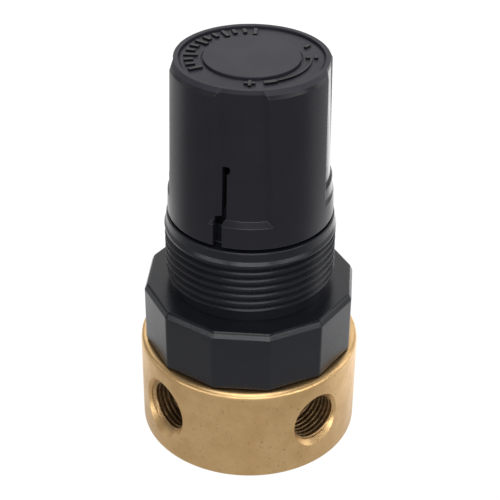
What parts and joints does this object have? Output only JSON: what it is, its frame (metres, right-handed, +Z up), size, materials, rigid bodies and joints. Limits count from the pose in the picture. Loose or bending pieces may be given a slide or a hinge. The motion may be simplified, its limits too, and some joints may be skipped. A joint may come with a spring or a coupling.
{
  "type": "air pressure regulator",
  "caption": "Compact air pressure regulator: round brass body with threaded ports, twelve-sided plastic bonnet with a panel thread, and a push-to-lock adjusting knob.",
  "frame": {"origin": "centre of the body's bottom face", "axes": "+Z up along the adjusting screw, from the body to the knob; inlet port towards -X, outlet port towards +X, gauge ports towards -Y and +Y"},
  "size_m": [0.04, 0.04, 0.0737],
  "materials": {
    "brass_body": "satin turned brass with a fine grain",
    "brass_turned": "bright turned brass",
    "knob_plastic": "satin moulded black nylon with a lightly grained face",
    "bonnet_plastic": "satin moulded black glass-filled nylon",
    "acetal": "smooth off-white acetal",
    "spring_steel": "drawn spring wire",
    "plated_steel": "zinc plated",
    "nitrile": "matte nitrile rubber"
  },
  "bodies": {
    "housing": {"body": "brass_body", "bottom_plug": "brass_turned", "bottom_plug_o_ring": "nitrile", "valve_stem_o_ring": "nitrile", "valve_spring": "spring_steel", "valve_seat": "acetal", "valve_seat_o_ring": "nitrile", "diaphragm": "nitrile", "slip_ring": "acetal", "bonnet": "bonnet_plastic", "regulating_spring": "spring_steel"},
    "screw": {"adjusting_screw": "plated_steel", "thrust_washer": "plated_steel", "retaining_clip": "spring_steel"},
    "knob": {"knob": "knob_plastic"},
    "nut": {"spring_nut": "brass_turned"},
    "diaphragm_plates": {"diaphragm_lower_plate": "brass_turned", "diaphragm_upper_plate": "plated_steel"},
    "valve": {"valve_poppet": "brass_turned", "valve_seal": "nitrile"}
  },
  "joints": [
    {"name": "screw_turn", "type": "hinge", "parent": "housing", "child": "screw", "pos_m": [0, 0, 0.055], "axis": [0, 0, 1], "range_deg": [-1440, 720]},
    {"name": "knob_lift", "type": "slide", "parent": "screw", "child": "knob", "axis": [0, 0, 1], "range_m": [0, 0.003]},
    {"name": "nut_travel", "type": "slide", "parent": "housing", "child": "nut", "axis": [0, 0, 1], "range_m": [-0.0051, 0.0026], "deforming": ["regulating_spring"]},
    {"name": "diaphragm_travel", "type": "slide", "parent": "housing", "child": "diaphragm_plates", "axis": [0, 0, 1], "range_m": [-0.001, 0], "stiffness_N_per_m": 600, "springref_m": 0.001, "deforming": ["diaphragm"]},
    {"name": "valve_open", "type": "slide", "parent": "housing", "child": "valve", "axis": [0, 0, 1], "range_m": [-0.001, 0], "stiffness_N_per_m": 1300, "springref_m": 0.001, "deforming": ["valve_spring"]}
  ],
  "couplings": [
    {"joint": "nut_travel", "follows": "screw_turn", "m_per_rad": 0.00019894},
    {"joint": "valve_open", "follows": "diaphragm_travel", "ratio": 1}
  ]
}
